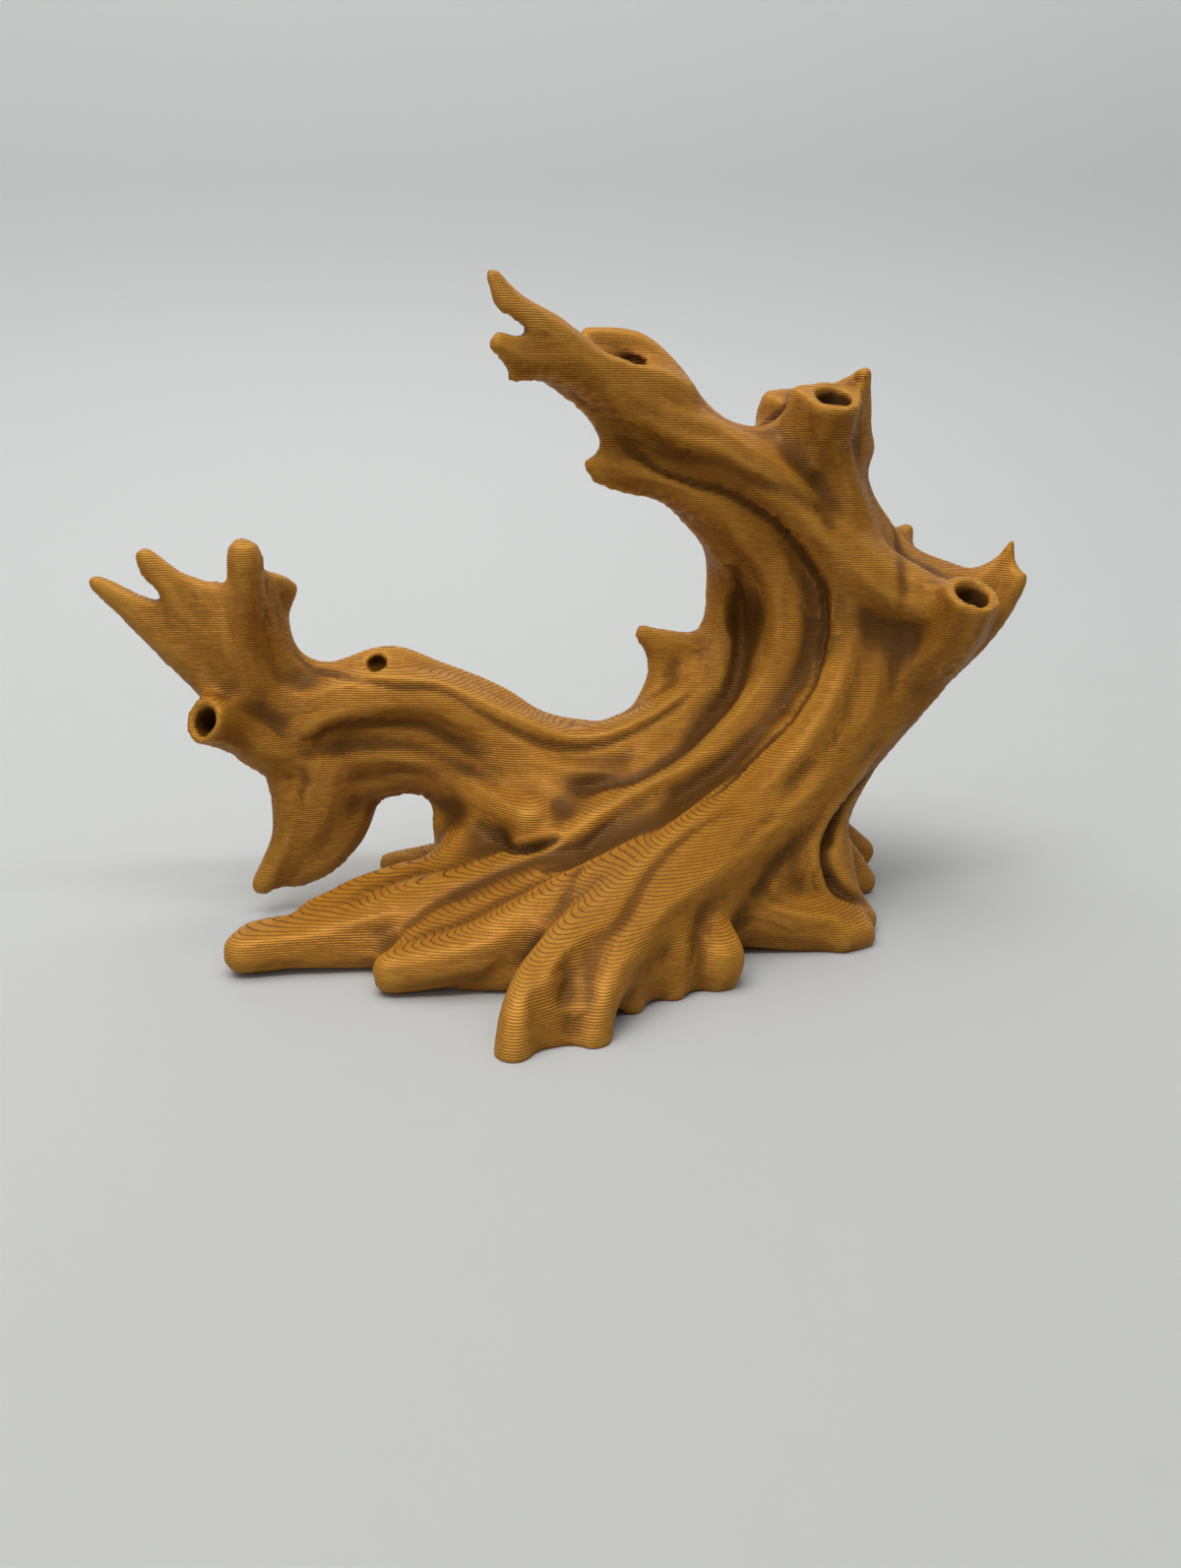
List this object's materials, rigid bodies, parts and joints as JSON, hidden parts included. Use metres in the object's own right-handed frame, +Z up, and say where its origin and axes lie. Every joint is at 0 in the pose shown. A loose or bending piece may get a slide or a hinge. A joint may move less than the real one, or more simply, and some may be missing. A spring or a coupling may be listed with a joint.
{
  "type": "dry root ornament",
  "caption": "Small printed ornament of a weathered dry root with a curved trunk, a raised branch, a hand-like arm and spreading roots that it stands on.",
  "frame": {"origin": "centre of the bounding box, on the flat base", "axes": "+X to the right along the length from the hand to the right arm, +Y away from the viewer, +Z up"},
  "size_m": [0.0834, 0.0508, 0.0566],
  "materials": {
    "printed_gold_brown": "silky gold-brown printed plastic with fine level layer lines"
  },
  "bodies": {
    "root": {"dry_root": "printed_gold_brown"}
  },
  "joints": []
}
